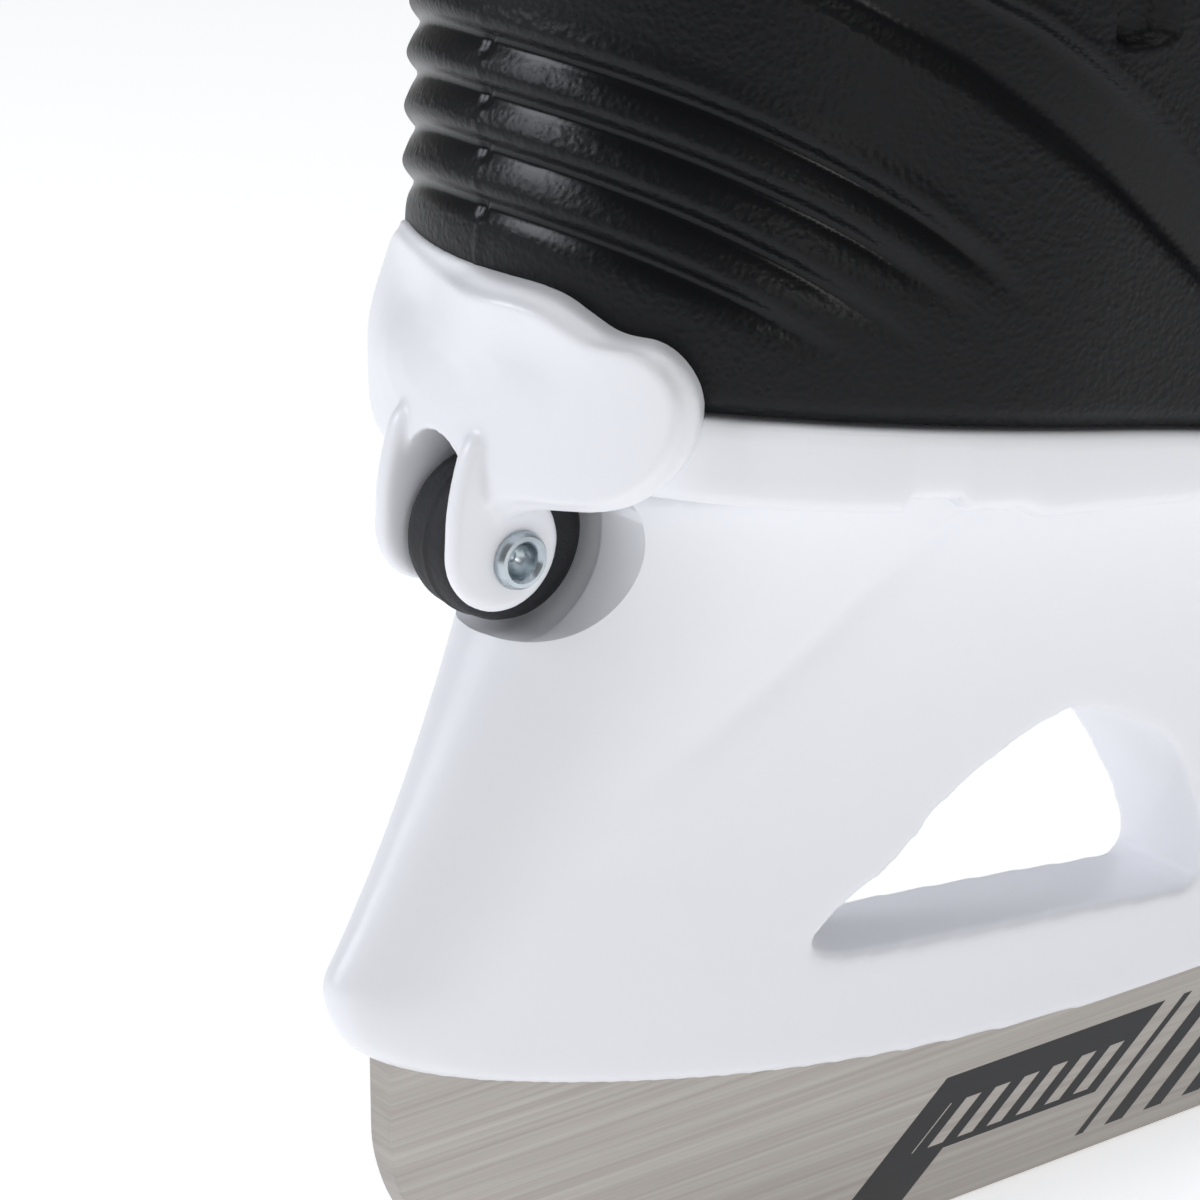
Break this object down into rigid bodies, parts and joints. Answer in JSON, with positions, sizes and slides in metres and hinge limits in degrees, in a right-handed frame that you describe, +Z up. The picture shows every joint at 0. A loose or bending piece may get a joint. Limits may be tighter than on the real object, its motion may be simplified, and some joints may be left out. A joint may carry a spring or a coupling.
{
  "type": "ice skate",
  "caption": "Hard-shell recreational ice skate, right foot: buckled boot with a hinged cuff, moulded blade holder, steel runner and a small roller clipped behind the heel.",
  "frame": {"origin": "on the straight running edge of the blade, under the ankle, on the blade centre plane", "axes": "+X towards the toe, +Y to the inner side of the right foot, +Z up out of the boot"},
  "size_m": [0.3077, 0.1146, 0.3295],
  "materials": {
    "white_plastic": "satin",
    "black_plastic": "fine leather grain",
    "steel": "brushed",
    "zinc_plate": "zinc plated",
    "black_rubber": "moulded",
    "lining": "padded textile",
    "footbed": "felted",
    "webbing": "woven",
    "strap_plastic": "satin",
    "brass_insert": "turned"
  },
  "bodies": {
    "skate": {"blade": "steel", "blade_holder": "white_plastic", "sole_plate": "white_plastic", "heel_clip": "white_plastic", "roller_rivet": "zinc_plate", "lower_shell": "black_plastic", "cuff_pivot_rivet_outer": "zinc_plate", "cuff_pivot_rivet_inner": "zinc_plate", "liner": "lining", "tongue": "lining", "insole": "footbed", "pull_loop": "webbing", "holder_bolt_heel_outer": "zinc_plate", "holder_insert_heel_outer": "brass_insert", "holder_bolt_heel_inner": "zinc_plate", "holder_insert_heel_inner": "brass_insert", "holder_bolt_toe_outer": "zinc_plate", "holder_insert_toe_outer": "brass_insert", "holder_bolt_toe_inner": "zinc_plate", "holder_insert_toe_inner": "brass_insert", "instep_buckle_base": "zinc_plate", "instep_buckle_base_rivet": "zinc_plate", "instep_buckle_lever_pin": "zinc_plate", "instep_buckle_pawl_pin": "zinc_plate", "instep_buckle_strap": "strap_plastic", "instep_buckle_strap_rivet": "zinc_plate", "toe_buckle_base": "zinc_plate", "toe_buckle_base_rivet": "zinc_plate", "toe_buckle_lever_pin": "zinc_plate", "toe_buckle_pawl_pin": "zinc_plate", "toe_buckle_strap": "strap_plastic", "toe_buckle_strap_rivet": "zinc_plate"},
    "cuff": {"cuff": "black_plastic", "cuff_buckle_base": "zinc_plate", "cuff_buckle_base_rivet": "zinc_plate", "cuff_buckle_lever_pin": "zinc_plate", "cuff_buckle_pawl_pin": "zinc_plate", "cuff_buckle_strap": "strap_plastic", "cuff_buckle_strap_rivet": "zinc_plate"},
    "roller": {"heel_roller": "black_rubber"},
    "cuff_buckle_lever": {"cuff_buckle_lever": "zinc_plate"},
    "cuff_buckle_pawl": {"cuff_buckle_pawl": "zinc_plate"},
    "instep_buckle_lever": {"instep_buckle_lever": "zinc_plate"},
    "instep_buckle_pawl": {"instep_buckle_pawl": "zinc_plate"},
    "toe_buckle_lever": {"toe_buckle_lever": "zinc_plate"},
    "toe_buckle_pawl": {"toe_buckle_pawl": "zinc_plate"}
  },
  "joints": [
    {"name": "roller_spin", "type": "hinge", "parent": "skate", "child": "roller", "pos_m": [-0.1361, 0, 0.0773], "axis": [0, 1, 0], "continuous": true},
    {"name": "cuff_lean", "type": "hinge", "parent": "skate", "child": "cuff", "pos_m": [-0.076, 0, 0.16], "axis": [0, 1, 0], "range_deg": [-2, 8], "deforming": ["liner", "tongue", "pull_loop"]},
    {"name": "cuff_buckle_lever_hinge", "type": "hinge", "parent": "cuff", "child": "cuff_buckle_lever", "pos_m": [-0.0311, -0.04267, 0.24123], "axis": [-0.0471, -0.0525, 0.9975], "range_deg": [0, 80]},
    {"name": "cuff_buckle_pawl_hinge", "type": "hinge", "parent": "cuff", "child": "cuff_buckle_pawl", "pos_m": [-0.0435, -0.04672, 0.24043], "axis": [-0.0471, -0.0525, 0.9975], "range_deg": [0, 8], "stiffness_Nm_per_rad": 0.05},
    {"name": "instep_buckle_lever_hinge", "type": "hinge", "parent": "skate", "child": "instep_buckle_lever", "pos_m": [-0.00815, -0.04024, 0.13688], "axis": [-0.8513, -0.0096, 0.5247], "range_deg": [0, 80]},
    {"name": "instep_buckle_pawl_hinge", "type": "hinge", "parent": "skate", "child": "instep_buckle_pawl", "pos_m": [-0.01494, -0.04196, 0.12583], "axis": [-0.8513, -0.0096, 0.5247], "range_deg": [0, 8], "stiffness_Nm_per_rad": 0.05},
    {"name": "toe_buckle_lever_hinge", "type": "hinge", "parent": "skate", "child": "toe_buckle_lever", "pos_m": [0.04572, -0.04768, 0.11306], "axis": [-0.9953, 0.0512, 0.0825], "range_deg": [0, 80]},
    {"name": "toe_buckle_pawl_hinge", "type": "hinge", "parent": "skate", "child": "toe_buckle_pawl", "pos_m": [0.04453, -0.05051, 0.10035], "axis": [-0.9953, 0.0512, 0.0825], "range_deg": [0, 8], "stiffness_Nm_per_rad": 0.05}
  ]
}
